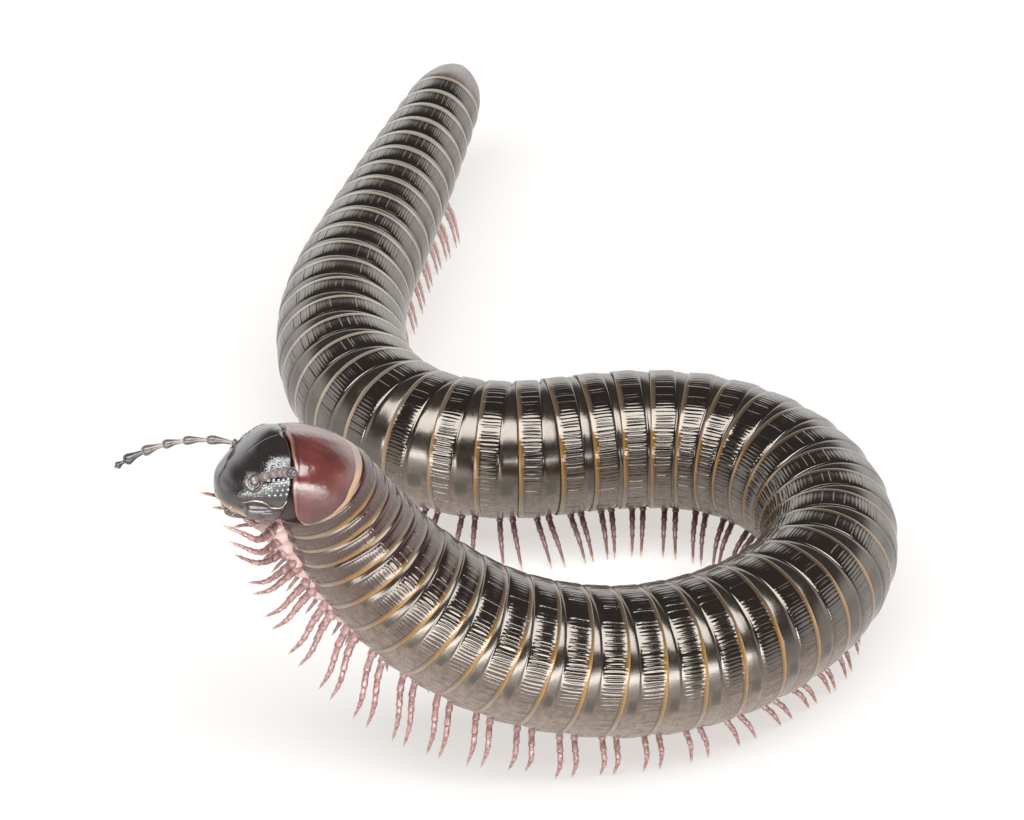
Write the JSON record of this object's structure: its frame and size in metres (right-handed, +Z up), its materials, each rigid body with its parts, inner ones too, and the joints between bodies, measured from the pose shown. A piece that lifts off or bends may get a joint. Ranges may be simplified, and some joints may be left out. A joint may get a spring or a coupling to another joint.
{
  "type": "millipede model",
  "caption": "Still, life-size museum model of a large glossy black millipede lying in an S on its feet, with its front end raised and its feelers out.",
  "frame": {"origin": "centre of the bounding box in plan, at the level of the floor that the feet stand on", "axes": "+Z up; +Y towards the tail, along the longest side of the S; -X towards the side that the head faces"},
  "size_m": [0.043, 0.0748, 0.0256],
  "materials": {
    "head": "gloss",
    "eye": "gloss",
    "mouth": "gloss",
    "feeler": "satin",
    "collum": "gloss",
    "trunk": "gloss",
    "telson": "satin",
    "leg": "satin"
  },
  "bodies": {
    "root": {"head": "head", "eye_left": "eye", "eye_right": "eye", "mandible_left": "mouth", "mandible_right": "mouth", "mouth_plate": "mouth", "antenna_left": "feeler", "antenna_right": "feeler", "collum": "collum", "trunk_rings_02_08": "trunk", "trunk_rings_09_15": "trunk", "trunk_rings_16_22": "trunk", "trunk_rings_23_29": "trunk", "trunk_rings_30_36": "trunk", "trunk_rings_37_43": "trunk", "trunk_rings_44_50": "trunk", "trunk_rings_51_57": "trunk", "telson": "telson"}
  },
  "joints": []
}
